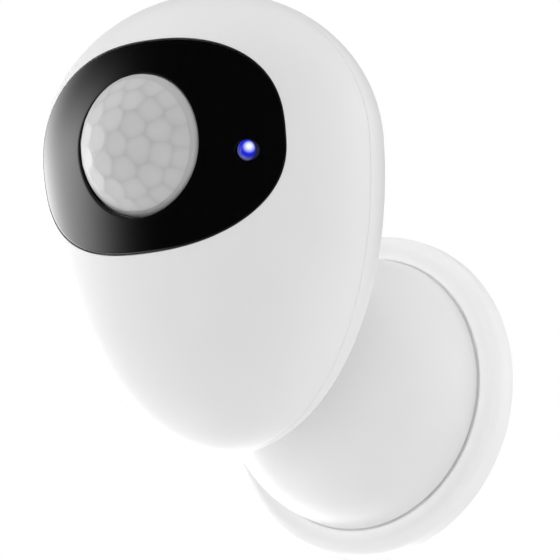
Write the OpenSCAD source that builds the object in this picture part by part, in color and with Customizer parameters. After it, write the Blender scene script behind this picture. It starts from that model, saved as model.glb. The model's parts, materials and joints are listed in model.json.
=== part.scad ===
// Wall-mounted motion sensor: an egg-shaped sensor head on a round ball-dome base.
// Origin: centre of the back face of the base, on the wall. +Y points into the wall,
// +Z up, and the head looks along -Y. All sizes in millimetres.
//
// The head is drawn in its own frame: origin at the centre of its widest section,
// front along -Y, back along +Y. in_head() sets it on the dome of the base.

/* [Head] */
// Half width of the head
head_half_width = 28.2; // [27:0.1:30]
// Height of the head above its widest section
head_top = 24.4; // [23.5:0.1:27]
// Height of the head below its widest section
head_bottom = 45; // [43:0.1:48]
// Depth of the front housing
front_depth = 21.1; // [20.5:0.1:23]
// Depth of the rear housing
rear_depth = 18.5; // [18:0.1:19]
// Wall thickness of both housings
shell_wall = 2.4; // [2.2:0.1:2.6]
// Angle by which the head looks down at rest
head_tilt = 9; // [0:1:20]

/* [Face panel] */
// Half width of the black panel
panel_half_width = 21.9; // [20:0.1:23]
// Height of the panel above the widest section of the head
panel_top = 16.5; // [15:0.1:18]
// Height of the panel below the widest section of the head
panel_bottom = 15.2; // [14:0.1:17]
// Squareness of the panel outline, where 2 is an ellipse
panel_power = 2.35; // [2:0.05:3]
// Thickness of the panel
panel_thick = 1.2; // [1:0.05:1.4]

/* [Lens] */
// Radius of the domed part of the lens
lens_radius = 10.6; // [10:0.1:11]
// Height of the lens dome
lens_rise = 6.2; // [5:0.1:7]
// Height of the lens axis above the widest section of the head
lens_z = 0.75; // [0:0.05:2]

/* [Base] */
// Radius of the wall plate
plate_radius = 25; // [24:0.5:28]
// Distance from the wall to the front face of the plate
plate_front = 4.6; // [4.2:0.1:5]
// Radius of the ball dome
dome_radius = 21; // [20.8:0.1:21.2]
// Distance between the two wall screw holes
wall_hole_spacing = 22; // [20:0.5:24]
// Diameter of the wall screw holes
wall_hole_d = 4.2; // [3.5:0.1:4.5]

/* [Battery] */
// Diameter of the battery
battery_d = 17; // [16.5:0.1:17]
// Length of the battery body without its nub
battery_body = 33.7; // [33:0.1:34]

/* [Hidden] */
$fn = 96;

// Where the head sits on the ball dome
ball_off = plate_front + 0.2;
head_reach = 36.3;
head_rise = 35.5;
seat_angle = 18.4;

// Base
gasket_thick = 0.8;
gasket_inset = 1.2;
plate_edge_r = 1.8;
dome_wall = 2;
dome_in = dome_radius - dome_wall;
seam_gap = 0.3;
rim_y = plate_front + seam_gap;
ring_out = 17.2;
ring_in = 14.8;
ledge_out = dome_in - 0.6;
ledge_y = 6.7;
ledge_thick = 1.4;
ledge_half_angle = 20;
lug_in = 17.5;
lug_half_angle = 12;
lug_front = 6.4;
lug_count = 3;
countersink_d = 8.2;

// Magnet inside the dome, along the seat axis from the centre of the ball
carrier_r = 7.5;
carrier_back = 12.5;
carrier_gap = 0.1;
dome_magnet_r = 5.5;
dome_magnet_len = 4;
magnet_fit = 0.05;

// Seat at the back of the head, along the same axis
collar_r = 8.4;
collar_flare_r = 11;
collar_flare_from = dome_radius - 1;
collar_gap = 0.5;
pad_r = 7.5;
seat_gap = 0.1;
seat_pad_thick = 1;
seat_magnet_r = 6;
seat_magnet_from = dome_radius + 2.2;
seat_magnet_to = dome_radius + 4.7;
cover_to = dome_radius + 5.4;
cover_r = 6.9;
boss_from = dome_radius - 2.6;

// Housings
skin = 1.5;
lip_out = 1.4;
lip_in = 2.5;
lip_reach = 2.5;
rebate_out = 1.25;
rebate_depth = 2.8;
recess_gap = 0.25;
recess_floor = 0.05;
outline_points = 64;

// Lens
lens_skirt_y = front_depth - 1.84;
lens_wall = 0.8;
lens_fit = 0.15;
flange_r = 11.9;
flange_y = 15.8;
flange_thick = 1;
lens_ball = (lens_radius * lens_radius + lens_rise * lens_rise) / (2 * lens_rise);
retainer_thick = 1.2;
retainer_in = 9.6;
lens_boss_r = 13.6;
lens_boss_back = 13.2;

// Circuit board and what stands on it
board_front = 8.5;
board_thick = 1.6;
board_back = board_front - board_thick;
board_half_width = 21.5;
board_top = 18.8;
board_bottom = 34;
post_spots = [[-16.5, 8.5], [16.5, 8.5], [0, -28.5]];
post_r = 2.4;
screw_r = 1;
screw_hole_r = 1.05;
screw_head_r = 1.9;
screw_head = 1.3;
screw_len = 6;

// Status light
led_x = 17.3;
led_z = -1.8;
led_r = 1.5;
led_dome_y = 16.25;
led_base_y = 12.6;
led_rim_r = 1.9;
led_rim = 1;
led_hole_r = 1.65;
lead_r = 0.25;
lead_hole_r = 0.35;
lead_pitch = 1.27;

// Infrared sensor can
can_r = 4.6;
can_top = 13;
can_base_r = 4.9;
can_base = 0.6;
window_w = 4;
window_h = 3;
window_thick = 0.4;
pin_circle = 2.54;

// Battery bay
battery_z = -22.5;
battery_r = battery_d / 2;
battery_y = -board_back + 1 + battery_r + 0.1;
nub_r = 2.8;
nub_len = 0.8;
contact_thick = 0.4;
contact_gap = 0.6;
holder_base = 1;
holder_wall = 1.2;
holder_half = 10.4;
battery_end = battery_z + battery_body + nub_len;

// Reset button
button_z = 16.5;
button_r = 2.6;
button_hole_r = 2.75;
stem_r = 1.4;
plunger_r = 1.1;
plunger_end = -4.4;
switch_half = 1.7;
switch_front = 4.9;
press_travel = 0.4;

// Colours
white_plastic = "#ECECEA";
black_gloss = "#0B0B0C";

// ---- Placement helpers ----

module in_head() {
    translate([0, -ball_off, 0]) rotate([head_tilt, 0, 0])
        translate([0, -head_reach, head_rise]) children();
}

// Frame of the seat: origin at the centre of the ball, +Z out along the seat axis
module on_seat() {
    translate([0, -ball_off, 0]) rotate([90 + head_tilt - seat_angle, 0, 0]) children();
}

// Round rod along the head's Y axis, from y_back forward to y_front
module rod(x, z, y_back, y_front, r) {
    translate([x, y_back, z]) rotate([90, 0, 0]) cylinder(r = r, h = y_back - y_front);
}

// Block centred on x and z, from y_back forward to y_front
module block(x, z, w, h, y_back, y_front) {
    translate([x - w / 2, y_front, z - h / 2]) cube([w, y_back - y_front, h]);
}

// ---- Egg shapes ----

module quarter_egg(w, d, h, up) {
    scale([w, d, h]) intersection() {
        sphere(r = 1);
        translate([-2, -2, up ? 0 : -4]) cube([4, 2, 4]);
    }
}

// Front half of an egg that is smaller than the head by inset, all round
module front_egg(inset) {
    quarter_egg(head_half_width - inset, front_depth - inset, head_top - inset, true);
    quarter_egg(head_half_width - inset, front_depth - inset, head_bottom - inset, false);
}

module rear_egg(inset) {
    rotate([0, 0, 180]) {
        quarter_egg(head_half_width - inset, rear_depth - inset, head_top - inset, true);
        quarter_egg(head_half_width - inset, rear_depth - inset, head_bottom - inset, false);
    }
}

module half_oval(w, h, y_back, y_front) {
    translate([0, y_back, 0]) rotate([90, 0, 0]) scale([w, h, y_back - y_front])
        intersection() {
            cylinder(r = 1, h = 1);
            translate([-2, 0, -1]) cube([4, 2, 3]);
        }
}

// Flat egg-shaped disc with its faces at y_back and y_front
module oval_disc(w, top, bottom, y_back, y_front) {
    half_oval(w, top, y_back, y_front);
    rotate([0, 180, 0]) half_oval(w, bottom, y_back, y_front);
}

module shell_disc(inset, y_back, y_front) {
    oval_disc(head_half_width - inset, head_top - inset, head_bottom - inset, y_back, y_front);
}

// ---- Base, fixed to the wall ----

module wall_hole_places() {
    for (side = [-1, 1]) translate([side * wall_hole_spacing / 2, 0, 0]) children();
}

module wall_gasket() {
    color("#3A3A3C") difference() {
        rod(0, 0, 0, -gasket_thick, plate_radius - gasket_inset);
        wall_hole_places() rod(0, 0, 1, -gasket_thick - 1, wall_hole_d / 2 + 0.4);
    }
}

module plate_body() {
    rotate([90, 0, 0]) rotate_extrude() union() {
        translate([0, gasket_thick]) square([plate_radius - plate_edge_r, plate_front - gasket_thick]);
        translate([0, gasket_thick]) square([plate_radius, plate_front - plate_edge_r - gasket_thick]);
        intersection() {
            translate([plate_radius - plate_edge_r, plate_front - plate_edge_r])
                circle(r = plate_edge_r);
            square([plate_radius, plate_front]);
        }
    }
}

// Ring sector about the dome's axis, from angle -half to +half
module ring_sector(r_in, r_out, y_back, y_front, half) {
    translate([0, y_back, 0]) rotate([90, 0, 0]) rotate([0, 0, 90 - half])
        rotate_extrude(angle = 2 * half) translate([r_in, 0]) square([r_out - r_in, y_back - y_front]);
}

module around_ring() {
    for (i = [0 : lug_count - 1]) rotate([0, i * 360 / lug_count, 0]) children();
}

module wall_plate() {
    color(white_plastic) difference() {
        union() {
            plate_body();
            difference() {
                rod(0, 0, -plate_front + 0.5, -ledge_y - ledge_thick, ring_out);
                rod(0, 0, 0, -ledge_y - ledge_thick - 1, ring_in);
            }
            around_ring() ring_sector(ring_in + 1, ledge_out, -ledge_y, -ledge_y - ledge_thick,
                                      ledge_half_angle);
        }
        wall_hole_places() {
            rod(0, 0, 1, -plate_front - 1, wall_hole_d / 2);
            translate([0, -plate_front + 2, 0]) rotate([90, 0, 0])
                cylinder(r1 = wall_hole_d / 2, r2 = countersink_d / 2, h = 2);
        }
    }
}

// ---- Dome, twists off the wall plate ----

module dome_shell() {
    color(white_plastic) union() {
        difference() {
            translate([0, -ball_off, 0]) sphere(r = dome_radius);
            translate([0, -ball_off, 0]) sphere(r = dome_in);
            rod(0, 0, dome_radius, -rim_y, dome_radius + 1);
        }
        intersection() {
            around_ring() ring_sector(lug_in, dome_in + 1, -rim_y, -lug_front, lug_half_angle);
            translate([0, -ball_off, 0]) sphere(r = dome_in + 1);
        }
    }
}

// ---- Magnet inside the dome, follows the head sideways ----

module magnet_carrier() {
    color("#D8D8D4") on_seat() difference() {
        intersection() {
            translate([0, 0, carrier_back]) cylinder(r = carrier_r, h = dome_in);
            sphere(r = dome_in - carrier_gap);
        }
        translate([0, 0, carrier_back - 1])
            cylinder(r = dome_magnet_r + magnet_fit, h = dome_magnet_len + 1);
    }
}

module dome_magnet() {
    color("#B9BCC0") on_seat() translate([0, 0, carrier_back])
        cylinder(r = dome_magnet_r, h = dome_magnet_len);
}

// ---- Rear housing of the head, tilts on the dome ----

module seat_rod(r, from, to) {
    on_seat() translate([0, 0, from]) cylinder(r = r, h = to - from);
}

module rear_housing() {
    color(white_plastic) difference() {
        union() {
            difference() {
                in_head() rear_egg(0);
                in_head() rear_egg(shell_wall);
            }
            seat_rod(collar_r, boss_from, seat_magnet_to);
            on_seat() translate([0, 0, collar_flare_from])
                cylinder(r1 = collar_r, r2 = collar_flare_r, h = seat_magnet_to - collar_flare_from);
        }
        translate([0, -ball_off, 0]) sphere(r = dome_radius + collar_gap);
        intersection() {
            seat_rod(pad_r + 0.1, 0, seat_magnet_from);
            translate([0, -ball_off, 0]) sphere(r = dome_radius + seat_gap + seat_pad_thick);
        }
        seat_rod(seat_magnet_r + magnet_fit, seat_magnet_from, seat_magnet_to + 1);
        seat_rod(cover_r + magnet_fit, seat_magnet_to, cover_to + 1);
        in_head() shell_disc(rebate_out, rebate_depth, -1);
        in_head() rod(0, button_z, rear_depth, 1, button_hole_r);
    }
}

module seat_pad() {
    color("#2A2A2C") intersection() {
        seat_rod(pad_r, 0, seat_magnet_from);
        translate([0, -ball_off, 0]) difference() {
            sphere(r = dome_radius + seat_gap + seat_pad_thick);
            sphere(r = dome_radius + seat_gap);
        }
    }
}

module seat_magnet() {
    color("#B9BCC0") seat_rod(seat_magnet_r, seat_magnet_from, seat_magnet_to);
}

module magnet_cover() {
    color("#C9C9C6") seat_rod(cover_r, seat_magnet_to, cover_to);
}

// ---- Front housing of the head, pulls forward off the rear housing ----

function outline_point(t, grow) =
    let (c = cos(t), s = sin(t), h = s > 0 ? panel_top : panel_bottom)
    [(panel_half_width + grow) * sign(c) * pow(abs(c), 2 / panel_power),
     (h + grow) * sign(s) * pow(abs(s), 2 / panel_power)];

// Prism of the panel's outline, running along Y through the front of the head
module panel_prism(grow) {
    translate([0, -2, 0]) rotate([90, 0, 0]) linear_extrude(height = front_depth + 5)
        polygon([for (i = [0 : outline_points - 1]) outline_point(i * 360 / outline_points, grow)]);
}

module front_bores() {
    rod(0, lens_z, -2, -front_depth - 5, lens_radius + lens_fit);
    rod(led_x, led_z, -2, -front_depth - 5, led_hole_r);
}

module face_panel() {
    color(black_gloss) in_head() difference() {
        intersection() {
            front_egg(0);
            panel_prism(0);
        }
        front_egg(panel_thick);
        front_bores();
    }
}

module front_housing() {
    color(white_plastic) in_head() difference() {
        union() {
            difference() {
                front_egg(0);
                front_egg(shell_wall);
            }
            difference() {
                shell_disc(lip_out, lip_reach, -skin);
                shell_disc(lip_in, lip_reach + 1, -skin - 1);
            }
            intersection() {
                union() {
                    rod(0, lens_z, -lens_boss_back, -front_depth, lens_boss_r);
                    for (p = post_spots) rod(p[0], p[1], -board_front, -front_depth, post_r);
                }
                front_egg(skin);
            }
        }
        difference() {
            panel_prism(recess_gap);
            front_egg(panel_thick + recess_floor);
        }
        rod(0, lens_z, -2, -flange_y, flange_r + lens_fit);
        front_bores();
        for (p = post_spots) rod(p[0], p[1], -board_front + 1, -board_front - screw_len, screw_hole_r);
    }
}

module pir_lens() {
    color([0.86, 0.87, 0.87, 0.9]) in_head() translate([0, 0, lens_z]) rotate([90, 0, 0]) union() {
        intersection() {
            difference() {
                translate([0, 0, lens_skirt_y + lens_rise - lens_ball]) sphere(r = lens_ball);
                translate([0, 0, lens_skirt_y + lens_rise - lens_ball])
                    sphere(r = lens_ball - lens_wall);
            }
            translate([0, 0, lens_skirt_y]) cylinder(r = lens_radius, h = lens_rise + 1);
        }
        difference() {
            union() {
                translate([0, 0, flange_y - flange_thick]) cylinder(r = flange_r, h = flange_thick);
                translate([0, 0, flange_y]) cylinder(r = lens_radius, h = lens_skirt_y - flange_y);
            }
            translate([0, 0, flange_y - flange_thick - 1])
                cylinder(r = lens_radius - lens_wall, h = lens_skirt_y);
        }
    }
}

module lens_retainer() {
    color("#D2D2CF") in_head() difference() {
        rod(0, lens_z, -flange_y + flange_thick + retainer_thick, -flange_y + flange_thick, flange_r);
        rod(0, lens_z, 0, -flange_y - 1, retainer_in);
    }
}

module status_led() {
    color([0.35, 0.45, 1, 0.8]) in_head() union() {
        intersection() {
            translate([led_x, -led_dome_y, led_z]) sphere(r = led_r);
            rod(led_x, led_z, -led_dome_y, -led_dome_y - 2 * led_r, led_r + 1);
        }
        rod(led_x, led_z, -led_base_y, -led_dome_y, led_r);
        rod(led_x, led_z, -led_base_y + led_rim, -led_base_y, led_rim_r);
    }
}

module led_leads() {
    color("silver") in_head() for (side = [-1, 1])
        rod(led_x + side * lead_pitch, led_z, -board_back + 1, -led_base_y + led_rim, lead_r);
}

// ---- Circuit board ----

module pin_places() {
    for (a = [45, 135, 270]) translate([pin_circle * cos(a), 0, lens_z + pin_circle * sin(a)])
        children();
}

module circuit_board() {
    color("#14683C") in_head() difference() {
        oval_disc(board_half_width, board_top, board_bottom, -board_back, -board_front);
        for (p = post_spots) rod(p[0], p[1], 0, -board_front - 1, screw_hole_r);
        for (side = [-1, 1]) rod(led_x + side * lead_pitch, led_z, 0, -board_front - 1, lead_hole_r);
        pin_places() rod(0, 0, 0, -board_front - 1, lead_hole_r);
    }
}

module pir_sensor() {
    color("#C4C7CA") in_head() difference() {
        union() {
            rod(0, lens_z, -board_front, -board_front - can_base, can_base_r);
            rod(0, lens_z, -board_front, -can_top, can_r);
        }
        block(0, lens_z, window_w, window_h, -can_top + window_thick, -can_top - 1);
    }
}

module pir_window() {
    color("#2B1F1C") in_head()
        block(0, lens_z, window_w, window_h, -can_top + window_thick, -can_top);
}

module pir_pins() {
    color("silver") in_head() pin_places() rod(0, 0, -board_back, -board_front, lead_r);
}

module radio_module() {
    color("#BFC2C5") in_head() block(0, -19.5, 14, 13, -board_front, -board_front - 2.2);
}

module controller_chip() {
    color("#1C1C1E") in_head() block(13, -12, 6, 6, -board_front, -board_front - 0.9);
}

module capacitor() {
    color("#2E3A55") in_head() rod(-13, -12, -board_front, -board_front - 4.2, 3);
}

// Small chips: [x, z, width, height, thickness]
small_parts = [[-18, -2, 1.6, 0.8, 0.5], [-18, -4, 1.6, 0.8, 0.5], [13, -18, 3.2, 2.5, 0.9],
               [11, -22, 1.6, 0.8, 0.5], [11, -24, 1.6, 0.8, 0.5], [-11, -20, 2, 1.2, 0.8],
               [-11, -23, 2, 1.2, 0.8], [7, 15.2, 3, 1.6, 1], [-4, 15.5, 1.6, 0.8, 0.5]];

module board_components() {
    color("#6E5B48") in_head() for (p = small_parts)
        block(p[0], p[1], p[2], p[3], -board_front, -board_front - p[4]);
}

module antenna() {
    color("#C9A45C") in_head() union() {
        block(-8, 13, 10, 1, -board_front, -board_front - 1.8);
        block(-12.5, 12, 1, 3, -board_front, -board_front - 1.8);
    }
}

// ---- Battery bay ----

module battery_rod(r, from, to) {
    translate([0, battery_y, from]) cylinder(r = r, h = to - from);
}

module battery_holder() {
    color("#232325") in_head() difference() {
        union() {
            block(0, (battery_z + battery_end) / 2, 2 * holder_half,
                  battery_end - battery_z + 2 * (contact_gap + contact_thick + holder_wall),
                  -board_back + holder_base, -board_back);
            for (side = [-1, 1])
                block(side * (holder_half - holder_wall / 2), (battery_z + battery_end) / 2, holder_wall,
                      battery_end - battery_z, 1, -board_back);
            for (z = [battery_z - contact_gap - contact_thick - holder_wall / 2,
                      battery_end + contact_gap + contact_thick + holder_wall / 2])
                block(0, z, 16, holder_wall, 5, -board_back);
        }
        battery_rod(battery_r + 0.3, battery_z - contact_gap, battery_end + contact_gap);
    }
}

module battery_cell() {
    color("#7A4FA0") in_head() battery_rod(battery_r, battery_z, battery_z + battery_body);
}

module battery_terminals() {
    color("#D0D2D4") in_head()
        battery_rod(nub_r, battery_z + battery_body, battery_end);
}

module positive_contact() {
    color("#D9B560") in_head() union() {
        block(0, battery_end + contact_gap + contact_thick / 2, 9, contact_thick,
              battery_y + 2.5, -board_back + holder_base);
        battery_rod(1.6, battery_end, battery_end + contact_gap + 0.1);
    }
}

module negative_contact() {
    color("#D9B560") in_head() union() {
        block(0, battery_z - contact_gap - contact_thick / 2, 9, contact_thick,
              battery_y + 2.5, -board_back + holder_base);
        battery_rod(2.6, battery_z - contact_gap - 0.1, battery_z);
    }
}

module board_screws() {
    color("#8E9196") in_head() for (p = post_spots) {
        rod(p[0], p[1], -board_back, -board_back - screw_len, screw_r);
        rod(p[0], p[1], -board_back + screw_head, -board_back, screw_head_r);
    }
}

// ---- Reset button and its switch ----

module switch_body() {
    color("#303034") in_head() difference() {
        block(0, button_z, 2 * switch_half, 2 * switch_half, -switch_front, -board_back);
        rod(0, button_z, 0, -switch_front - 1.1, plunger_r + 0.05);
    }
}

module switch_plunger() {
    color("#E4E4E0") in_head() rod(0, button_z, plunger_end, plunger_end - 1, plunger_r);
}

module reset_button() {
    color("#DCDCD9") in_head() union() {
        rod(0, button_z, 9, plunger_end, stem_r);
        intersection() {
            rod(0, button_z, rear_depth, 8, button_r);
            rear_egg(0.3);
        }
    }
}

wall_gasket();
wall_plate();
dome_shell();
magnet_carrier();
dome_magnet();
rear_housing();
seat_pad();
seat_magnet();
magnet_cover();
front_housing();
face_panel();
pir_lens();
lens_retainer();
status_led();
led_leads();
circuit_board();
pir_sensor();
pir_window();
pir_pins();
radio_module();
controller_chip();
capacitor();
board_components();
antenna();
battery_holder();
battery_cell();
battery_terminals();
positive_contact();
negative_contact();
board_screws();
switch_body();
switch_plunger();
reset_button();
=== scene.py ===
import json
import math

import bmesh
import bpy
import numpy as np
from mathutils import Matrix, Vector


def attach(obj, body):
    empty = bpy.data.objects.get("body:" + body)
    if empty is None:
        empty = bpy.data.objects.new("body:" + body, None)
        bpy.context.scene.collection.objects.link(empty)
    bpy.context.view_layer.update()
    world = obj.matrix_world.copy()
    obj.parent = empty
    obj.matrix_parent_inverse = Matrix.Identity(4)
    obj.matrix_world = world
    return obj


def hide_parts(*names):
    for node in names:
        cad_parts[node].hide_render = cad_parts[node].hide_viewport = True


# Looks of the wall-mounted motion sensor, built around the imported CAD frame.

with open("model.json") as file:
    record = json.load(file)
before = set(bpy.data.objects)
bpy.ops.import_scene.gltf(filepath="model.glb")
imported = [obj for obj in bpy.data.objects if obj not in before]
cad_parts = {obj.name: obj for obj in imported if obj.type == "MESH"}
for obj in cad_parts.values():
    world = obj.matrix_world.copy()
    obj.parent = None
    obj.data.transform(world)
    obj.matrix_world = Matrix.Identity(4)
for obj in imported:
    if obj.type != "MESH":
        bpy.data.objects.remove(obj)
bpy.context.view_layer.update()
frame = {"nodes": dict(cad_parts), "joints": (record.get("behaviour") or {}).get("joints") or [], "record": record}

MM = 0.001
NODES = frame["nodes"]
JOINTS = {j["name"]: j for j in frame["joints"]}

# ---------------------------------------------------------------------------
# Driving dimensions, in millimetres, in the head's own frame unless named
# ---------------------------------------------------------------------------
HALF_WIDTH, TOP, BOTTOM = 28.2, 24.4, 45.0
FRONT_DEPTH, REAR_DEPTH = 21.1, 18.5
SHELL_WALL = 2.4
HEAD_REACH, HEAD_RISE = 36.3, 35.5
SEAT_ANGLE = math.radians(18.4)

PANEL_HALF, PANEL_TOP, PANEL_BOTTOM, PANEL_POWER = 21.9, 16.5, 15.2, 2.35
PANEL_THICK = 1.2
RECESS_DEPTH = 1.25
PANEL_GAP = 0.16
PANEL_ROUND = 0.28
SHELL_ROUND = 0.14

LENS_R, LENS_RISE, LENS_Z = 10.6, 6.2, 0.75
LENS_SKIRT_Y = FRONT_DEPTH - 1.84
LENS_WALL = 0.8
FLANGE_R, FLANGE_Y, FLANGE_THICK = 11.9, 15.8, 1.0
BORE_R = LENS_R + 0.15
POCKET_R = FLANGE_R + 0.15
BOSS_R, BOSS_BACK = 13.6, 13.2

LED_X, LED_Z, LED_R, LED_HOLE = 17.3, -1.8, 1.5, 1.65
LED_DOME_Y, LED_BASE_Y = 16.25, 12.6
BEAD_R, FOOT_R = 1.6, 1.9
# Where the painted white highlight lies on the bead, from its centre, in bead radii
PAINTED_HIGHLIGHT = Vector((0.635, -0.718, 0.285))
PAINTED_HIGHLIGHT_REACH = 1.6

LIP_OUT, LIP_IN, LIP_REACH, SKIN = 1.4, 2.5, 2.5, 1.5
REBATE_OUT, REBATE_DEPTH = 1.25, 2.8

DOME_R, DOME_WALL, RIM_Y = 21.0, 2.0, 4.9
PLATE_R, PLATE_FRONT, PLATE_BACK, PLATE_ROUND = 25.0, 4.6, 0.8, 1.8
PLATE_STEP = 0.12
RING_IN, RING_HOOK, RING_NECK = 14.8, 18.4, 17.2
HOOK_START, HOOK_END = 6.7, 8.1
SEAM_R, SEAM_LIP = 21.3, 0.16
# Width of the painted glow on the plate's front beside the seam, which lightens the shade there
PAINTED_SEAM_GLOW_WIDTH = 0.7
SCREW_HOLE_R, SCREW_HEAD_R, SCREW_X = 2.1, 4.1, 11.0
COLLAR_R, COLLAR_BASE_R, COLLAR_MOUTH_R, COLLAR_ROUND = 8.4, 11.4, 8.0, 0.4
PAD_R, SEAT_MAGNET_R, COVER_R = 7.6, 6.05, 6.95
BUTTON_Z, BUTTON_R, BUTTON_HOLE = 16.5, 2.6, 2.75
POSTS = [(-16.5, 8.5), (16.5, 8.5), (0.0, -28.5)]

AROUND = 256

# ---------------------------------------------------------------------------
# Frames: the ball centre and the head's tilt come from the record's joints
# ---------------------------------------------------------------------------
BALL = Vector(JOINTS["head_tilt"]["pos_m"])
PULL = Vector(JOINTS["front_pull_off"]["axis"])
TILT = math.atan2(-PULL.z, -PULL.y)
TO_HEAD = (Matrix.Translation(BALL) @ Matrix.Rotation(TILT, 4, "X") @ Matrix.Scale(MM, 4)
           @ Matrix.Translation((0, -HEAD_REACH, HEAD_RISE)))
TO_WALL = Matrix.Scale(MM, 4)

# The seat axis in the head's frame, from the centre of the ball towards the head
SEAT_CENTRE = np.array([0, HEAD_REACH, -HEAD_RISE])
SEAT_U = np.array([0, -math.cos(SEAT_ANGLE), math.sin(SEAT_ANGLE)])
SEAT_V = np.array([0, math.sin(SEAT_ANGLE), math.cos(SEAT_ANGLE)])
SEAT_X = np.array([1.0, 0, 0])

PHI = np.linspace(0, 2 * math.pi, AROUND, endpoint=False)


# ---------------------------------------------------------------------------
# Mesh helpers
# ---------------------------------------------------------------------------
def finish_mesh(name, verts, faces, place, sharp=35, merge=True):
    """A mesh object from points in a local millimetre frame, with its normals out."""
    mesh = bpy.data.meshes.new(name)
    mesh.from_pydata([tuple(v) for v in verts], [], faces)
    mesh.transform(place)
    bm = bmesh.new()
    bm.from_mesh(mesh)
    if merge:
        bmesh.ops.remove_doubles(bm, verts=bm.verts, dist=1e-7)
    bmesh.ops.recalc_face_normals(bm, faces=bm.faces)
    bm.to_mesh(mesh)
    bm.free()
    smooth(mesh, sharp)
    obj = bpy.data.objects.new(name, mesh)
    bpy.context.scene.collection.objects.link(obj)
    return obj


def smooth(mesh, sharp=35):
    mesh.polygons.foreach_set("use_smooth", [True] * len(mesh.polygons))
    mesh.set_sharp_from_angle(angle=math.radians(sharp))


def skin_rings(rings, closed=False):
    """Points and quads of a stack of rings. A ring of one point is a pole."""
    verts, faces, starts = [], [], []
    for ring in rings:
        starts.append(len(verts))
        verts.extend(np.atleast_2d(ring))
    count = len(rings)
    pairs = [(i, (i + 1) % count) for i in range(count if closed else count - 1)]
    for i, j in pairs:
        a, b = starts[i], starts[j]
        na, nb = len(np.atleast_2d(rings[i])), len(np.atleast_2d(rings[j]))
        if max(na, nb) == 1:
            continue
        for k in range(max(na, nb)):
            n = (k + 1) % max(na, nb)
            if na == 1:
                faces.append((a, b + k, b + n))
            elif nb == 1:
                faces.append((a + k, b, a + n))
            else:
                faces.append((a + k, b + k, b + n, a + n))
    return verts, faces


def ring_object(name, rings, place, closed=False, sharp=35, merge=True):
    verts, faces = skin_rings(rings, closed)
    return finish_mesh(name, verts, faces, place, sharp, merge)


def lathe(name, profile, place, around=128, closed=True, centre=(0.0, 0.0), sharp=35):
    """Turns (radius, forward) points about the -Y axis through centre = (x, z)."""
    turn = np.linspace(0, 2 * math.pi, around, endpoint=False)
    rings = []
    for r, forward in profile:
        if r < 1e-9:
            rings.append(np.array([[centre[0], -forward, centre[1]]]))
        else:
            rings.append(np.stack([centre[0] + r * np.cos(turn), np.full(around, -forward),
                                   centre[1] + r * np.sin(turn)], -1))
    return ring_object(name, rings, place, closed, sharp)


def arc(cr, cf, radius, start, end, steps=6):
    """Points of a fillet in a lathe profile, angles in degrees from the +radius axis."""
    angles = np.radians(np.linspace(start, end, steps))
    return [(cr + radius * math.cos(t), cf + radius * math.sin(t)) for t in angles]


def join(objects, name):
    """Joins meshes that already sit in their place into one object."""
    bm = bmesh.new()
    for obj in objects:
        bm.from_mesh(obj.data)
    mesh = bpy.data.meshes.new(name)
    bm.to_mesh(mesh)
    bm.free()
    for obj in objects:
        bpy.data.objects.remove(obj)
    joined = bpy.data.objects.new(name, mesh)
    bpy.context.scene.collection.objects.link(joined)
    return joined


def mark(obj, name, values):
    """Stores one number for each point, for the material to read."""
    attribute = obj.data.attributes.new(name, "FLOAT", "POINT")
    attribute.data.foreach_set("value", np.asarray(values, np.float32))


def cut(obj, cutter):
    """Boolean difference, applied, and the cutter is deleted."""
    modifier = obj.modifiers.new("cut", "BOOLEAN")
    modifier.operation = "DIFFERENCE"
    modifier.solver = "EXACT"
    modifier.object = cutter
    bpy.context.view_layer.update()
    graph = bpy.context.evaluated_depsgraph_get()
    mesh = bpy.data.meshes.new_from_object(obj.evaluated_get(graph))
    obj.modifiers.clear()
    obj.data = mesh
    bpy.data.objects.remove(cutter)
    smooth(obj.data)
    return obj


def rod(name, x, z, back, forward, radius, place, around=64):
    """A round rod along the head's Y axis, from y = -back to y = -forward."""
    return lathe(name, [(0, back), (radius, back), (radius, forward), (0, forward)], place,
                 around, closed=False, centre=(x, z))


# ---------------------------------------------------------------------------
# Egg surfaces
# ---------------------------------------------------------------------------
def height_of(z):
    return np.where(z > 0, TOP, BOTTOM)


def on_egg(xz, inset, depth, side):
    """Points of the egg at xz (mm). side is -1 for the front surface, 1 for the rear."""
    x, z = xz[:, 0], xz[:, 1]
    left = 1 - (x / (HALF_WIDTH - inset)) ** 2 - (z / (height_of(z) - inset)) ** 2
    y = side * (depth - inset) * np.sqrt(np.clip(left, 0, None))
    return np.stack([x, y, z], -1)


def oval(inset, y):
    """Ring of the head's outline, smaller by inset, at the height y."""
    z = np.sin(PHI)
    return np.stack([(HALF_WIDTH - inset) * np.cos(PHI), np.full(AROUND, float(y)),
                     (height_of(z) - inset) * z], -1)


def between(start, end, steps, inset, depth, side):
    """Rings on the egg from outline start to outline end, both arrays of (x, z)."""
    def unroll(xz):
        flat = xz / np.stack([np.full(len(xz), HALF_WIDTH - inset), height_of(xz[:, 1]) - inset], -1)
        rho = np.clip(np.linalg.norm(flat, axis=1), 1e-9, 1)
        return flat / rho[:, None] * np.arcsin(rho)[:, None]

    a, b = unroll(start), unroll(end)
    rings = []
    for t in np.linspace(0, 1, steps):
        q = a + (b - a) * t
        theta = np.linalg.norm(q, axis=1)
        flat = q / theta[:, None] * np.sin(theta)[:, None]
        xz = flat * np.stack([np.full(len(q), HALF_WIDTH - inset), height_of(flat[:, 1]) - inset], -1)
        y = side * (depth - inset) * np.cos(theta)
        rings.append(np.stack([xz[:, 0], y, xz[:, 1]], -1))
    return rings


def outline(grow):
    """The panel's outline in (x, z)."""
    c, s = np.cos(PHI), np.sin(PHI)
    high = np.where(s > 0, PANEL_TOP, PANEL_BOTTOM) + grow
    power = 2 / PANEL_POWER
    return np.stack([(PANEL_HALF + grow) * np.sign(c) * np.abs(c) ** power,
                     high * np.sign(s) * np.abs(s) ** power], -1)


# Direction from the lens axis of each point of the panel's outline
LENS_TURN = np.unwrap(np.arctan2(outline(0)[:, 1] - LENS_Z, outline(0)[:, 0]))


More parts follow.
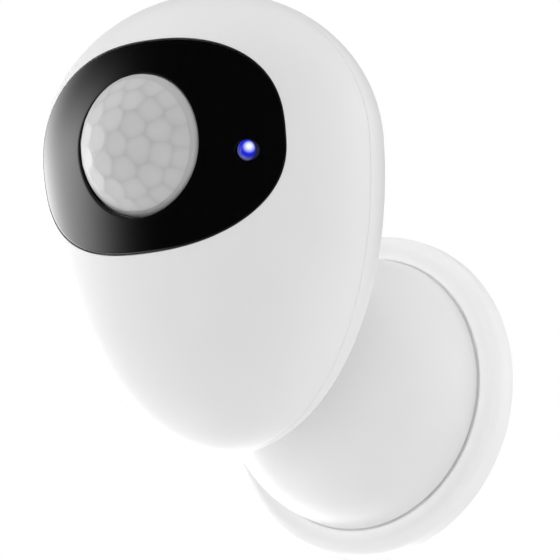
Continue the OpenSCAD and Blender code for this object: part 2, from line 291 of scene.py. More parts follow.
def lens_circle(radius):
    return np.stack([radius * np.cos(LENS_TURN), LENS_Z + radius * np.sin(LENS_TURN)], -1)


def lens_ring(radius, y):
    xz = lens_circle(radius)
    return np.stack([xz[:, 0], np.full(AROUND, float(y)), xz[:, 1]], -1)


# ---------------------------------------------------------------------------
# Materials: one short function each
# ---------------------------------------------------------------------------
class Graph:
    """A small helper round one procedural material."""

    def __init__(self, name):
        self.material = bpy.data.materials.new(name)
        self.material.use_nodes = True
        self.tree = self.material.node_tree
        self.tree.nodes.clear()
        self.shader = self.add("ShaderNodeBsdfPrincipled")
        out = self.add("ShaderNodeOutputMaterial")
        self.link(self.shader.outputs["BSDF"], out.inputs["Surface"])
        self.place = self.add("ShaderNodeTexCoord").outputs["Object"]

    def add(self, kind, **settings):
        node = self.tree.nodes.new(kind)
        for key, value in settings.items():
            setattr(node, key, value)
        return node

    def link(self, output, socket):
        self.tree.links.new(output, socket)

    def set(self, **values):
        for key, value in values.items():
            self.shader.inputs[key.replace("_", " ")].default_value = value

    def noise(self, scale, detail=3.0, rough=0.5, stretch=None):
        node = self.add("ShaderNodeTexNoise")
        node.inputs["Scale"].default_value = scale
        node.inputs["Detail"].default_value = detail
        node.inputs["Roughness"].default_value = rough
        self.link(self.stretched(stretch), node.inputs["Vector"])
        return node.outputs["Fac"]

    def stretched(self, stretch):
        if stretch is None:
            return self.place
        mapping = self.add("ShaderNodeMapping")
        mapping.inputs["Scale"].default_value = stretch
        self.link(self.place, mapping.inputs["Vector"])
        return mapping.outputs["Vector"]

    def ramp(self, factor, stops):
        node = self.add("ShaderNodeValToRGB")
        points = node.color_ramp.elements
        while len(points) < len(stops):
            points.new(0.5)
        for point, (at, colour) in zip(points, stops):
            point.position = at
            point.color = (*colour, 1) if len(colour) == 3 else colour
        self.link(factor, node.inputs["Fac"])
        return node.outputs["Color"]

    def span(self, factor, low, high, start=0.0, end=1.0):
        node = self.add("ShaderNodeMapRange")
        node.inputs["From Min"].default_value = start
        node.inputs["From Max"].default_value = end
        node.inputs["To Min"].default_value = low
        node.inputs["To Max"].default_value = high
        self.link(factor, node.inputs["Value"])
        return node.outputs["Result"]

    def bump(self, height, strength, distance):
        node = self.add("ShaderNodeBump")
        node.inputs["Strength"].default_value = strength
        node.inputs["Distance"].default_value = distance
        self.link(height, node.inputs["Height"])
        self.link(node.outputs["Normal"], self.shader.inputs["Normal"])


def grey(value):
    return (value, value, value)


def white_plastic(name, tone, glow, depth, seam=0.0):
    """Satin moulded plastic: a fine spark texture, a faint unevenness, light in the skin, and at a seam a painted
    glow that lightens the shade there.
    """
    g = Graph(name)
    grain = g.noise(5200, 2, 0.5)
    cloud = g.noise(60, 3, 0.55)
    stops = [(0.3, grey(tone - 0.012)), (0.7, grey(tone + 0.012))]
    g.link(g.ramp(cloud, stops), g.shader.inputs["Base Color"])
    g.link(g.span(grain, 0.34, 0.46, 0.3, 0.7), g.shader.inputs["Roughness"])
    g.set(IOR=1.46, Subsurface_Weight=glow, Subsurface_Radius=(1, 1, 1), Subsurface_Scale=depth)
    g.bump(grain, 0.12, 0.00002)
    # Painted glow beside a seam, an emission that lightens the shade there
    if seam:
        near = g.add("ShaderNodeAttribute", attribute_name="painted_seam_glow").outputs["Fac"]
        g.link(g.span(near, 0, seam), g.shader.inputs["Emission Strength"])
        g.set(Emission_Color=(1, 1, 1, 1))
    return g.material


def black_gloss():
    """Polished black plastic with faint hairlines and a trace of dust in its roughness."""
    g = Graph("black_gloss")
    hair = g.noise(900, 4, 0.7, stretch=(1, 1, 0.08))
    dust = g.noise(2600, 2, 0.5)
    g.link(g.ramp(dust, [(0.55, grey(0.0018)), (0.85, grey(0.006))]), g.shader.inputs["Base Color"])
    g.link(g.span(hair, 0.06, 0.14, 0.35, 0.75), g.shader.inputs["Roughness"])
    g.set(IOR=1.5, Specular_IOR_Level=0.5)
    g.bump(g.noise(140, 2, 0.4), 0.03, 0.00003)
    return g.material


def milky_lens():
    """Milky polyethylene: soft light under the surface, a waxy skin, darker along the cells' edges, and a painted
    shade over the plain rim band.
    """
    g = Graph("milky_lens")
    cloud = g.noise(240, 3, 0.5)
    edge = g.add("ShaderNodeAttribute", attribute_name="cell_edge_and_rim_shade").outputs["Fac"]
    body = g.ramp(cloud, [(0.3, (0.55, 0.545, 0.55)), (0.7, (0.58, 0.575, 0.58))])
    edges_and_rim_shade = g.add("ShaderNodeMix", data_type="RGBA")
    edges_and_rim_shade.inputs[7].default_value = (0.40, 0.40, 0.40, 1)
    g.link(body, edges_and_rim_shade.inputs[6])
    g.link(g.span(edge, 0, 0.75, 0, 1.4), edges_and_rim_shade.inputs[0])
    g.link(edges_and_rim_shade.outputs[2], g.shader.inputs["Base Color"])
    g.link(g.span(g.noise(1500, 2, 0.5), 0.33, 0.37, 0.3, 0.7), g.shader.inputs["Roughness"])
    g.set(IOR=1.45, Specular_IOR_Level=0.3, Subsurface_Weight=0.1, Subsurface_Radius=(1, 1, 1),
          Subsurface_Scale=0.0005)
    g.bump(cloud, 0.05, 0.00003)
    return g.material


def plain_plastic(name, colour, rough, grain=3500):
    g = Graph(name)
    speck = g.noise(grain, 2, 0.5)
    cloud = g.noise(90, 3, 0.5)
    low = tuple(c * 0.9 for c in colour)
    g.link(g.ramp(cloud, [(0.3, low), (0.7, colour)]), g.shader.inputs["Base Color"])
    g.link(g.span(speck, rough - 0.06, rough + 0.08, 0.3, 0.7), g.shader.inputs["Roughness"])
    g.bump(speck, 0.2, 0.00003)
    return g.material


def metal(name, colour, rough, brush=(1, 1, 0.05), scale=2500):
    """Plated or stamped metal with fine drawing lines and a few dull spots."""
    g = Graph(name)
    lines = g.noise(scale, 3, 0.6, stretch=brush)
    spots = g.noise(350, 4, 0.6)
    dull = tuple(c * 0.72 for c in colour)
    g.link(g.ramp(spots, [(0.42, dull), (0.62, colour)]), g.shader.inputs["Base Color"])
    g.link(g.span(lines, rough - 0.08, rough + 0.12, 0.3, 0.7), g.shader.inputs["Roughness"])
    g.set(Metallic=1.0)
    g.bump(lines, 0.15, 0.00002)
    return g.material


def board_green():
    """Solder mask over copper tracks."""
    g = Graph("board_green")
    cells = g.add("ShaderNodeTexVoronoi", feature="DISTANCE_TO_EDGE", distance="CHEBYCHEV")
    cells.inputs["Scale"].default_value = 420
    g.link(g.place, cells.inputs["Vector"])
    tracks = g.span(cells.outputs["Distance"], 1, 0, 0.05, 0.11)
    mix = g.add("ShaderNodeMix", data_type="RGBA")
    mix.inputs[6].default_value = (0.012, 0.12, 0.05, 1)
    mix.inputs[7].default_value = (0.03, 0.24, 0.10, 1)
    g.link(tracks, mix.inputs[0])
    g.link(mix.outputs[2], g.shader.inputs["Base Color"])
    g.link(g.span(g.noise(900), 0.22, 0.34), g.shader.inputs["Roughness"])
    g.bump(tracks, 0.4, 0.00003)
    return g.material


def rubber(name, value):
    g = Graph(name)
    speck = g.noise(2400, 3, 0.6)
    g.link(g.ramp(speck, [(0.3, grey(value * 0.8)), (0.7, grey(value * 1.3))]), g.shader.inputs["Base Color"])
    g.link(g.span(speck, 0.62, 0.8), g.shader.inputs["Roughness"])
    g.bump(speck, 0.35, 0.00005)
    return g.material


def led_epoxy():
    """Epoxy of the status light, lit from inside: deep blue glow round a painted white highlight, dark round its
    side.
    """
    g = Graph("led_epoxy")
    spot = g.add("ShaderNodeAttribute", attribute_name="bead_painted_highlight").outputs["Fac"]
    aside = g.add("ShaderNodeAttribute", attribute_name="bead_aside").outputs["Fac"]
    cloud = g.noise(1500, 2, 0.5)
    # The white end of this ramp is a painted highlight; the blues are the light's own glow.
    stops = [(0.0, (1.0, 1.0, 1.0)), (0.14, (0.9, 0.9, 1.0)), (0.28, (0.36, 0.42, 0.85)),
             (0.42, (0.01, 0.02, 0.66)), (0.58, (0.0, 0.0, 0.58)), (0.72, (0.05, 0.06, 0.30)),
             (0.84, (0.10, 0.11, 0.22)), (1.0, (0.01, 0.01, 0.04))]
    glow = g.add("ShaderNodeMix", data_type="RGBA")
    glow.inputs[7].default_value = (0.004, 0.004, 0.015, 1)
    g.link(g.ramp(spot, stops), glow.inputs[6])
    g.link(g.span(aside, 0, 1, 0.93, 0.99), glow.inputs[0])
    body = [(0.3, (0.01, 0.01, 0.04)), (0.7, (0.02, 0.02, 0.07))]
    g.link(g.ramp(cloud, body), g.shader.inputs["Base Color"])
    g.link(glow.outputs[2], g.shader.inputs["Emission Color"])
    g.link(g.span(cloud, 0.03, 0.08), g.shader.inputs["Roughness"])
    g.set(IOR=1.5, Emission_Strength=1.0)
    return g.material


def floor_paint():
    g = Graph("floor_paint")
    cloud = g.noise(6, 4, 0.5)
    g.link(g.ramp(cloud, [(0.3, grey(0.82)), (0.7, grey(0.85))]), g.shader.inputs["Base Color"])
    g.link(g.span(cloud, 0.7, 0.85), g.shader.inputs["Roughness"])
    return g.material


WHITE = white_plastic("white_plastic", 0.80, 0.12, 0.0012)
# The plate's plastic is a lighter copy of the housing's white, painted lighter to stand in for light on the plate,
# with a painted glow beside the seam that lightens the shade the dome casts there.
PLATE_WHITE = white_plastic("plate_plastic", 0.87, 0.6, 0.003, seam=0.24)
BLACK = black_gloss()
LENS = milky_lens()
EPOXY = led_epoxy()
INNER = plain_plastic("inner_plastic", grey(0.62), 0.45)
BLACK_PLASTIC = plain_plastic("black_plastic", grey(0.02), 0.4)
SLEEVE = plain_plastic("capacitor_sleeve", (0.02, 0.04, 0.12), 0.28)
WRAP = plain_plastic("battery_wrap", (0.10, 0.16, 0.28), 0.25)
CERAMIC = plain_plastic("chip_ceramic", (0.30, 0.23, 0.16), 0.5)
FILTER = plain_plastic("filter_dark", (0.02, 0.012, 0.012), 0.12)
GASKET = rubber("gasket_rubber", 0.05)
SEAT_RUBBER = rubber("seat_rubber", 0.03)
MAGNET = metal("magnet_metal", (0.62, 0.62, 0.62), 0.2)
WIRE = metal("tinned_wire", (0.72, 0.72, 0.70), 0.3)
CAN = metal("can_metal", (0.62, 0.63, 0.64), 0.3)
BRASS = metal("contact_brass", (0.78, 0.58, 0.26), 0.28)
STEEL = metal("screw_steel", (0.42, 0.43, 0.44), 0.35)
BOARD = board_green()

SLOT_MATERIALS = {
    "white_plastic": WHITE, "inner_plastic": INNER, "black_gloss": BLACK, "milky_lens": LENS,
    "led_blue": EPOXY, "gasket_rubber": GASKET, "seat_rubber": SEAT_RUBBER,
    "magnet_metal": MAGNET, "tinned_wire": WIRE, "can_metal": CAN, "filter_dark": FILTER,
    "board_green": BOARD, "black_plastic": BLACK_PLASTIC, "capacitor_sleeve": SLEEVE,
    "chip_ceramic": CERAMIC, "contact_brass": BRASS, "battery_wrap": WRAP, "screw_steel": STEEL,
}


def dress(obj, material):
    obj.data.materials.clear()
    obj.data.materials.append(material)
    return obj


def stand_for(obj, node, material, body):
    """Gives a piece its material and body, and hides the CAD node it stands for."""
    dress(obj, material)
    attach(obj, body)
    if node:
        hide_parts(node)
    return obj


def dress_cad_nodes():
    for part in frame["record"]["subparts"]:
        dress(NODES[part["node"]], SLOT_MATERIALS[part["material_slot"]])


# ---------------------------------------------------------------------------
# Head: front housing, panel, lens, status light
# ---------------------------------------------------------------------------
def edge_rings(grow, roll, inset, outward):
    """A rounded edge along the panel's outline, from the surface down into the gap.

    outward is 1 for the housing, whose surface lies outside the outline, and -1 for the panel."""
    rings = []
    for t in np.linspace(0, math.pi / 2, 6):
        shift = grow + outward * roll * (1 - math.sin(t))
        drop = roll * (1 - math.cos(t))
        rings.append(on_egg(outline(shift), inset, FRONT_DEPTH, -1) + np.array([0, drop, 0]))
    return rings


def rim_rings(side, roll=0.16):
    """The rounded outer edge at the parting line, from the outer surface to the flat face."""
    rings = []
    for t in np.linspace(0, math.pi / 2, 5):
        rings.append(oval(roll * (1 - math.cos(t)), side * roll * (1 - math.sin(t))))
    return rings


def front_housing():
    depth = FRONT_DEPTH
    rim = oval(0, 0)[:, [0, 2]]
    outer = between(rim, outline(PANEL_GAP + SHELL_ROUND), 40, 0, depth, -1)[2:]
    groove = edge_rings(PANEL_GAP, SHELL_ROUND, 0, 1)[1:]
    floor = between(outline(PANEL_GAP), lens_circle(BORE_R), 12, RECESS_DEPTH, depth, -1)
    bore = [lens_ring(BORE_R, -FLANGE_Y), lens_ring(POCKET_R, -FLANGE_Y), lens_ring(POCKET_R, -BOSS_BACK),
            lens_ring(BOSS_R, -BOSS_BACK)]
    inner_rim = oval(SHELL_WALL + 0.1, -SKIN)[:, [0, 2]]
    inner = between(lens_circle(BOSS_R), inner_rim, 30, SHELL_WALL, depth, -1)[:-1]
    lip = [oval(LIP_IN, -SKIN), oval(LIP_IN, LIP_REACH - 0.2), oval(LIP_IN - 0.15, LIP_REACH),
           oval(LIP_OUT + 0.2, LIP_REACH), oval(LIP_OUT, LIP_REACH - 0.3), oval(LIP_OUT, 0)]
    rim_edge = rim_rings(-1)[::-1]
    shell = ring_object("front_housing_shell", outer + groove + floor + bore + inner + lip + rim_edge,
                        TO_HEAD, closed=True)
    cut(shell, rod("led_cutter", LED_X, LED_Z, 5, 25, LED_HOLE, TO_HEAD))
    posts = []
    for x, z in POSTS:
        wall = float(on_egg(np.array([[x, z]]), SHELL_WALL - 0.4, depth, -1)[0, 1])
        profile = [(1.05, 8.5), (2.25, 8.5), (2.4, 8.65), (2.4, -wall), (0, -wall), (0, 14.5), (1.05, 14.5)]
        posts.append(lathe("post", profile, TO_HEAD, 48, closed=True, centre=(x, z)))
    shell = join([shell] + posts, "front_housing_shell")
    smooth(shell.data)
    return stand_for(shell, "front_housing", WHITE, "head_front")


def face_panel():
    depth = FRONT_DEPTH
    edge = edge_rings(0, PANEL_ROUND, 0, -1)
    top = between(outline(-PANEL_ROUND), lens_circle(BORE_R + 0.2), 34, 0, depth, -1)[1:]
    bore_edge = [on_egg(lens_circle(BORE_R + 0.06), 0, depth, -1) + np.array([0, 0.06, 0]),
                 on_egg(lens_circle(BORE_R), 0, depth, -1) + np.array([0, 0.2, 0])]
    back = between(lens_circle(BORE_R), outline(0), 16, PANEL_THICK, depth, -1)
    panel = ring_object("face_panel_skin", edge[::-1] + top + bore_edge + back, TO_HEAD, closed=True)
    cut(panel, rod("led_cutter", LED_X, LED_Z, 5, 25, LED_HOLE, TO_HEAD))
    return stand_for(panel, "face_panel", BLACK, "head_front")


# Lens cells: a centre cell and rings of cells round it, as polar angle and count
CELL_RINGS = [(0.0, 1), (18.5, 6), (35.0, 12), (50.0, 18)]
CELL_START = math.radians(-18.8)
CELL_HALF = math.radians(9.2)
CELL_FLAT = 1.0
CELL_GROOVE, CELL_GROOVE_WIDTH = 0.03, 0.2
CELL_LINES = [(0.20, 0.22), (0.34, 0.62)]
# Painted shade over the plain rim band round the cells
RIM_SHADE = 0.9
CELLS_END, CELLS_FADE = math.radians(55.5), math.radians(1.2)
RIM_BAND, RIM_LIFT = math.radians(58.5), 0.6
LENS_AROUND, LENS_RINGS = 420, 140


def cell_centres():
    centres = []
    for polar, count in CELL_RINGS:
        p = math.radians(polar)
        for k in range(count):
            turn = CELL_START + k * 2 * math.pi / count
            centres.append((math.sin(p) * math.cos(turn), math.sin(p) * math.sin(turn), math.cos(p)))
    return np.array(centres)


def cell_relief(ways, ball, centres):
    """How far the surface is lifted off the ball in each direction, and how much darker the colour is there: along
    the cells' edges, and a painted shade over the plain rim band.
    """
    polar = np.arccos(np.clip(ways[:, 2], -1, 1))
    angles = np.sort(np.arccos(np.clip(ways @ centres.T, -1, 1)), axis=1)
    sink = ball * (1 / math.cos(CELL_HALF) - 1)
    facet = np.minimum(ball * (1 / np.cos(angles[:, 0]) - 1), sink)
    to_edges = (angles[:, 1:3] - angles[:, :1]) * ball / 2
    groove = CELL_GROOVE * np.exp(-((to_edges[:, 0] / CELL_GROOVE_WIDTH) ** 2))
    cells = np.clip((CELLS_END - polar) / CELLS_FADE, 0, 1)
    band = np.clip((polar - CELLS_END) / (RIM_BAND - CELLS_END), 0, 1)
    lift = cells * (CELL_FLAT * (facet - sink) - groove) - (1 - cells) * sink * (1 - RIM_LIFT * band)
    lines = sum(share * np.exp(-((to_edges / width) ** 2)).sum(1) for share, width in CELL_LINES)
    return lift, cells * lines + (1 - cells) * RIM_SHADE


def lens():
    """Domed lens: each cell is a nearly flat facet with a soft groove round it."""
    ball = (LENS_R ** 2 + LENS_RISE ** 2) / (2 * LENS_RISE)
    middle = LENS_SKIRT_Y + LENS_RISE - ball
    edge_angle = math.asin(LENS_R / ball)
    turn = np.linspace(0, 2 * math.pi, LENS_AROUND, endpoint=False)
    centres = cell_centres()

    def ways(polar):
        return np.stack([math.sin(polar) * np.cos(turn), math.sin(polar) * np.sin(turn),
                         np.full(LENS_AROUND, math.cos(polar))], -1)

    def dome_ring(polar, radius):
        points = ways(polar) * np.broadcast_to(np.asarray(radius, float), (LENS_AROUND,))[:, None]
        return np.stack([points[:, 0], -(middle + points[:, 2]), LENS_Z + points[:, 1]], -1)

    def flat_ring(radius, y):
        return np.stack([radius * np.cos(turn), np.full(LENS_AROUND, -y), LENS_Z + radius * np.sin(turn)], -1)

    lift, line = cell_relief(np.array([[0.0, 0.0, 1.0]]), ball, centres)
    rings = [np.array([[0.0, -(middle + ball + float(lift[0])), LENS_Z]])]
    lines = [line]
    for polar in np.linspace(0, edge_angle, LENS_RINGS)[1:]:
        lift, line = cell_relief(ways(polar), ball, centres)
        rings.append(dome_ring(polar, ball + lift))
        lines.append(line)
    inner_r = LENS_R - LENS_WALL
    inner_ball = ball - LENS_WALL
    flange_back = FLANGE_Y - FLANGE_THICK
    skirt = [(LENS_R, LENS_SKIRT_Y - 0.25), (LENS_R, FLANGE_Y), (FLANGE_R, FLANGE_Y), (FLANGE_R, flange_back),
             (inner_r, flange_back), (inner_r, LENS_SKIRT_Y - 0.25)]
    rings += [flat_ring(radius, y) for radius, y in skirt]
    for polar in np.linspace(math.asin(inner_r / inner_ball) - 0.04, 0, 24)[:-1]:
        rings.append(dome_ring(polar, inner_ball))
    rings.append(np.array([[0.0, -(middle + inner_ball), LENS_Z]]))
    piece = ring_object("pir_lens_dome", rings, TO_HEAD, sharp=60, merge=False)
    edges_and_rim_shade = np.concatenate(lines)
    # Darker along the cells' edges, with a painted shade over the plain rim band
    mark(piece, "cell_edge_and_rim_shade", np.pad(edges_and_rim_shade, (0, len(piece.data.vertices) - len(edges_and_rim_shade))))
    return stand_for(piece, "pir_lens", LENS, "head_front")


def status_led():
    """Status light: a bead on a wider foot, marked with the distances from its painted white highlight and its
    axis.
    """
    dome = [(BEAD_R * math.cos(t), LED_DOME_Y + LED_R * math.sin(t)) for t in np.linspace(0, math.pi / 2, 32)]
    dome[-1] = (0, LED_DOME_Y + LED_R)
    foot = LED_BASE_Y - 1
    profile = [(0, foot), (FOOT_R - 0.05, foot), (FOOT_R, foot + 0.05), (FOOT_R, LED_BASE_Y),
               (BEAD_R, LED_BASE_Y)] + dome
    bead = lathe("status_led_bead", profile, TO_HEAD, 96, closed=False, centre=(LED_X, LED_Z))
    back_to_head = TO_HEAD.inverted()
    middle = Vector((LED_X, -LED_DOME_Y, LED_Z))
    places = [(back_to_head @ v.co - middle) / BEAD_R for v in bead.data.vertices]
    mark(bead, "bead_painted_highlight", [(p - PAINTED_HIGHLIGHT).length / PAINTED_HIGHLIGHT_REACH for p in places])
    mark(bead, "bead_aside", [math.hypot(p.x, p.z) for p in places])
    stand_for(bead, "status_led", EPOXY, "head_front")


# ---------------------------------------------------------------------------
# Head: rear housing with its seat collar, and the reset button
# ---------------------------------------------------------------------------
RIM_XZ = oval(0, 0)[:, [0, 2]]
SEAT_HIT = SEAT_CENTRE + 23.07 * SEAT_U
SEAT_TURN = np.unwrap(np.arctan2(RIM_XZ[:, 1] - SEAT_HIT[2], RIM_XZ[:, 0]))


def seat_ring(radius, along):
    """Ring round the seat axis at the distance along (a number or one for each point)."""
    along = np.broadcast_to(np.asarray(along, float), (AROUND,))
    return (SEAT_CENTRE + along[:, None] * SEAT_U
            + radius * (np.cos(SEAT_TURN)[:, None] * SEAT_X + np.sin(SEAT_TURN)[:, None] * SEAT_V))


def seat_meets_egg(radius, inset):
    """Distance along the seat axis at which a ring of that radius meets the rear egg."""
    base = seat_ring(radius, 0)
    axes = np.array([HALF_WIDTH - inset, REAR_DEPTH - inset, BOTTOM - inset])
    p, d = base / axes, SEAT_U / axes
    a, b, c = d @ d, p @ d, (p * p).sum(1) - 1
    return (-b - np.sqrt(b * b - a * c)) / a


def rear_housing():
    depth = REAR_DEPTH
    socket = DOME_R + 0.5
    floor = DOME_R + 1.1
    seat = [np.array([SEAT_CENTRE + floor * SEAT_U])]
    for r in np.linspace(0, PAD_R, 8)[1:]:
        seat.append(seat_ring(r, math.sqrt(floor ** 2 - r ** 2)))
    rim_along = math.sqrt(socket ** 2 - COLLAR_MOUTH_R ** 2)
    collar = [seat_ring(PAD_R, math.sqrt(socket ** 2 - PAD_R ** 2)), seat_ring(COLLAR_MOUTH_R, rim_along)]
    for t in np.linspace(0.3, math.pi / 2, 5):
        lip = rim_along + COLLAR_ROUND * (1 - math.cos(t))
        collar.append(seat_ring(COLLAR_MOUTH_R + COLLAR_ROUND * math.sin(t), lip))
    neck = rim_along + COLLAR_ROUND
    foot = seat_meets_egg(COLLAR_BASE_R, 0)
    spread = COLLAR_BASE_R - COLLAR_R
    for t in np.linspace(0, 1, 14)[1:-1]:
        flare = spread * (1 - math.cos(t * math.pi / 2)) ** 1.3
        collar.append(seat_ring(COLLAR_R + flare, neck + (foot - neck) * math.sin(t * math.pi / 2)))
    base = seat_ring(COLLAR_BASE_R, foot)[:, [0, 2]]
    outer = between(base, RIM_XZ, 48, 0, depth, 1)[:-2]
    rim_edge = rim_rings(1)
    rebate = [oval(REBATE_OUT - 0.1, 0), oval(REBATE_OUT, 0.1), oval(REBATE_OUT, REBATE_DEPTH)]
    start = oval(SHELL_WALL, 0)[:, [0, 2]]
    wall_hit = seat_meets_egg(COVER_R, SHELL_WALL)
    inner_circle = seat_ring(COVER_R, wall_hit)[:, [0, 2]]
    inner = between(start, inner_circle, 34, SHELL_WALL, depth, 1)
    inner = [r for r in inner if r[:, 1].min() >= REBATE_DEPTH]
    magnet_in, magnet_out = DOME_R + 2.2, DOME_R + 4.7
    pocket = [seat_ring(COVER_R, magnet_out), seat_ring(SEAT_MAGNET_R, magnet_out),
              seat_ring(SEAT_MAGNET_R, magnet_in), np.array([SEAT_CENTRE + magnet_in * SEAT_U])]
    rings = seat + collar + outer + rim_edge + rebate + inner + pocket
    shell = ring_object("rear_housing_shell", rings, TO_HEAD)
    cut(shell, rod("button_cutter", 0, BUTTON_Z, -25, -1, BUTTON_HOLE, TO_HEAD))
    return stand_for(shell, "rear_housing", WHITE, "head_rear")


def reset_button():
    """Round cap that follows the housing's slope, with a shallow dish, on its stem."""
    around = 64
    turn = np.linspace(0, 2 * math.pi, around, endpoint=False)

    def cap_ring(radius, drop):
        xz = np.stack([radius * np.cos(turn), BUTTON_Z + radius * np.sin(turn)], -1)
        return on_egg(xz, 0.3, REAR_DEPTH, 1) - np.array([0, drop, 0])

    def flat(radius, y):
        height = np.full(around, float(y))
        return np.stack([radius * np.cos(turn), height, BUTTON_Z + radius * np.sin(turn)], -1)

    top = on_egg(np.array([[0, BUTTON_Z]]), 0.3, REAR_DEPTH, 1) - np.array([0, 0.25, 0])
    rings = [top] + [cap_ring(r, 0.25 - 0.25 * (r / 2.0) ** 2) for r in (0.5, 1.0, 1.5, 2.0)]
    rings += [cap_ring(2.3, 0.0), cap_ring(2.45, 0.03), cap_ring(2.56, 0.12), cap_ring(BUTTON_R, 0.28)]
    rings += [flat(BUTTON_R, 8.1), flat(2.5, 8.0), flat(1.4, 8.0), flat(1.4, -4.4),
              np.array([[0, -4.4, BUTTON_Z]])]
    piece = ring_object("reset_button_cap", rings, TO_HEAD)
    return stand_for(piece, "reset_button", WHITE, "button")


# ---------------------------------------------------------------------------
# Base: dome and wall plate
# ---------------------------------------------------------------------------
def dome():
    offset = -BALL.y / MM
    inner = DOME_R - DOME_WALL
    start = math.asin((RIM_Y - offset + 0.15) / DOME_R)
    outer = [(DOME_R * math.cos(t), offset + DOME_R * math.sin(t))
             for t in np.linspace(start, math.pi / 2, 64)]
    outer[-1] = (0, offset + DOME_R)
    hollow = [(inner * math.cos(t), offset + inner * math.sin(t)) for t in np.linspace(math.pi / 2, 0.02, 40)]
    hollow[0] = (0, offset + inner)
    edge = [(inner + 0.05, RIM_Y), (DOME_R - 0.18, RIM_Y), (DOME_R - 0.06, RIM_Y + 0.05)]
    shell = lathe("dome_shell_skin", outer[::-1] + edge[::-1] + hollow[::-1], TO_WALL, 256, closed=False)
    return stand_for(shell, "dome_shell", WHITE, "dome")


def painted_seam_light(point):
    """Share of the painted glow at a point (mm), which lightens the shade beside the seam: strongest at the seam,
    on the front face only.
    """
    radius = math.hypot(point.x, point.z)
    on_front = -point.y > PLATE_FRONT - PLATE_STEP - 0.08
    return math.exp(-(radius - SEAM_R) / PAINTED_SEAM_GLOW_WIDTH) if on_front and radius > SEAM_R - 0.05 else 0.0


def wall_plate():
    """Round plate with a rolled edge, a step at the seam, and the bayonet ring under the dome."""
    step = PLATE_FRONT - PLATE_STEP
    edge = arc(PLATE_R - PLATE_ROUND, PLATE_FRONT - PLATE_ROUND, PLATE_ROUND, 0, 90, 12)
    profile = [(0, PLATE_BACK), (PLATE_R - 0.3, PLATE_BACK), (PLATE_R, PLATE_BACK + 0.3)] + edge
    profile += [(SEAM_R + out, PLATE_FRONT) for out in (1.7, 1.3, 1.0, 0.7, 0.5, 0.2, 0)]
    profile += [(SEAM_R - SEAM_LIP, step), (RING_NECK, step), (RING_NECK, HOOK_START),
                (RING_HOOK, HOOK_START), (RING_HOOK, HOOK_END), (RING_IN, HOOK_END), (RING_IN, PLATE_FRONT),
                (0, PLATE_FRONT)]
    plate = lathe("wall_plate_disc", profile, TO_WALL, 256, closed=False)
    sink = PLATE_FRONT - (SCREW_HEAD_R - SCREW_HOLE_R)
    hole = [(0, -1), (SCREW_HOLE_R, -1), (SCREW_HOLE_R, sink), (SCREW_HEAD_R, PLATE_FRONT), (SCREW_HEAD_R, 6),
            (0, 6)]
    for side in (-1, 1):
        cut(plate, lathe("hole", hole, TO_WALL, 64, closed=False, centre=(side * SCREW_X, 0)))
    back_to_wall = TO_WALL.inverted()
    # Painted glow beside the seam, lightening the shade the dome casts on the plate
    mark(plate, "painted_seam_glow", [painted_seam_light(back_to_wall @ v.co) for v in plate.data.vertices])
    return stand_for(plate, "wall_plate", PLATE_WHITE, "wall_base")


# ---------------------------------------------------------------------------
# Studio
# ---------------------------------------------------------------------------
CAMERA_AZIMUTH, CAMERA_ELEVATION, CAMERA_ROLL = 34.505, -12.08, 0.996
CAMERA_DISTANCE = 1.1
CAMERA_TARGET = Vector((0.001415, -0.030, 0.013191))
PIXELS, PIXEL_SIZE = 560, 0.00015142
SENSOR = 36.0
FLOOR_HALF, FLOOR_HEIGHT = 5.0, -0.9


def toward(azimuth, elevation):
    """Unit direction from the object to a place round it, from angles in degrees."""
    a, e = math.radians(azimuth), math.radians(elevation)
    return Vector((math.sin(a) * math.cos(e), -math.cos(a) * math.cos(e), math.sin(e)))


def camera():
    back = toward(CAMERA_AZIMUTH, CAMERA_ELEVATION)
    data = bpy.data.cameras.new("camera")
    data.sensor_width = SENSOR
    data.lens = SENSOR * CAMERA_DISTANCE / (PIXELS * PIXEL_SIZE)
    data.clip_end = 20
    obj = bpy.data.objects.new("camera", data)
    obj.location = CAMERA_TARGET + back * CAMERA_DISTANCE
    look = back.to_track_quat("Z", "Y").to_matrix().to_4x4()
    obj.matrix_world = (Matrix.Translation(obj.location) @ look
                        @ Matrix.Rotation(math.radians(CAMERA_ROLL), 4, "Z"))
    bpy.context.scene.collection.objects.link(obj)
    bpy.context.scene.camera = obj


# Soft lights round the object: azimuth and elevation in degrees, and strength
ROOM_LIGHTS = [
    (35, -20, 3.6),   # in front and below
    (130, 15, 2.7),   # right, behind
    (-70, -5, 2.1),   # left
    (-80, 50, 1.7),   # upper left
    (10, 70, 1.4),    # overhead
    (-155, 40, 0.8),  # behind and above
]
ROOM_FOCUS = 6
# What glossy surfaces mirror: bright cloth from the left to behind, as a level row and a low row
TENT_LIGHTS = [
    (-70, 5, 3.0),
    (-105, 0, 3.3),
    (-135, -10, 4.4),
    (-95, -45, 2.6),
    (-150, -40, 2.6),
]
TENT_FOCUS = 14
TENT_RADIUS = 8.0


def soft_lights(tree, direction, lights, focus):
    """Adds up the soft lights for a unit direction, as nodes, and returns the sum."""
    def math_node(operation, a, b):
        node = tree.nodes.new("ShaderNodeMath")
        node.operation = operation
        for socket, value in zip(node.inputs, (a, b)):
            if isinstance(value, (int, float)):
                socket.default_value = value
            else:
                tree.links.new(value, socket)
        return node.outputs["Value"]

    total = 0.0
    for azimuth, elevation, strength in lights:
        dot = tree.nodes.new("ShaderNodeVectorMath")
        dot.operation = "DOT_PRODUCT"
        dot.inputs[1].default_value = toward(azimuth, elevation)
        tree.links.new(direction, dot.inputs[0])
        facing = math_node("MAXIMUM", dot.outputs["Value"], 0.0)
        light = math_node("MULTIPLY", math_node("POWER", facing, focus), strength)
        total = math_node("ADD", light, total)
    return total


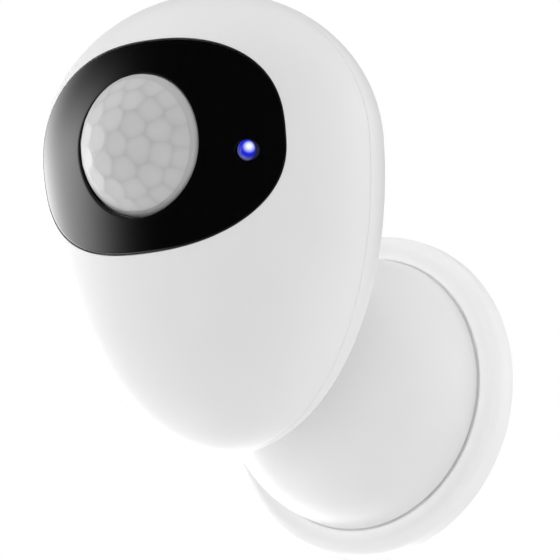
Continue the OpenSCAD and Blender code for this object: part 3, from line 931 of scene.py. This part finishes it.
def room():
    """White to the camera, and soft lights to the object."""
    world = bpy.data.worlds.new("room")
    bpy.context.scene.world = world
    world.use_nodes = True
    world.cycles_visibility.glossy = False
    tree = world.node_tree
    tree.nodes.clear()
    way = tree.nodes.new("ShaderNodeTexCoord").outputs["Generated"]
    seen = tree.nodes.new("ShaderNodeBackground")
    lit = tree.nodes.new("ShaderNodeBackground")
    pick = tree.nodes.new("ShaderNodeMixShader")
    out = tree.nodes.new("ShaderNodeOutputWorld")
    seen.inputs["Color"].default_value = (1, 1, 1, 1)
    lit.inputs["Color"].default_value = (1, 1, 1, 1)
    tree.links.new(soft_lights(tree, way, ROOM_LIGHTS, ROOM_FOCUS), lit.inputs["Strength"])
    tree.links.new(tree.nodes.new("ShaderNodeLightPath").outputs["Is Camera Ray"], pick.inputs["Fac"])
    tree.links.new(lit.outputs["Background"], pick.inputs[1])
    tree.links.new(seen.outputs["Background"], pick.inputs[2])
    tree.links.new(pick.outputs["Shader"], out.inputs["Surface"])


def tent():
    """A big sphere of light that only glossy surfaces see."""
    bpy.ops.mesh.primitive_uv_sphere_add(segments=48, ring_count=24, radius=TENT_RADIUS)
    obj = bpy.context.object
    obj.name = "tent"
    material = bpy.data.materials.new("tent_cloth")
    material.use_nodes = True
    material.cycles.emission_sampling = "NONE"
    tree = material.node_tree
    tree.nodes.clear()
    place = tree.nodes.new("ShaderNodeTexCoord").outputs["Object"]
    unit = tree.nodes.new("ShaderNodeVectorMath")
    unit.operation = "NORMALIZE"
    tree.links.new(place, unit.inputs[0])
    glow = tree.nodes.new("ShaderNodeEmission")
    out = tree.nodes.new("ShaderNodeOutputMaterial")
    shine = soft_lights(tree, unit.outputs["Vector"], TENT_LIGHTS, TENT_FOCUS)
    tree.links.new(shine, glow.inputs["Strength"])
    tree.links.new(glow.outputs["Emission"], out.inputs["Surface"])
    dress(obj, material)
    obj.visible_camera = False
    obj.visible_diffuse = False
    obj.visible_transmission = False
    obj.visible_volume_scatter = False
    obj.visible_shadow = False


def floor():
    mesh = bpy.data.meshes.new("floor")
    half, height = FLOOR_HALF, FLOOR_HEIGHT
    corners = [(-half, -half, height), (half, -half, height), (half, half, height), (-half, half, height)]
    mesh.from_pydata(corners, [], [(0, 1, 2, 3)])
    obj = bpy.data.objects.new("floor", mesh)
    bpy.context.scene.collection.objects.link(obj)
    dress(obj, floor_paint())
    obj.visible_glossy = False


camera()
dress_cad_nodes()
front_housing()
face_panel()
lens()
status_led()
rear_housing()
reset_button()
dome()
wall_plate()
room()
tent()
floor()
bpy.context.scene.view_settings.view_transform = "Standard"
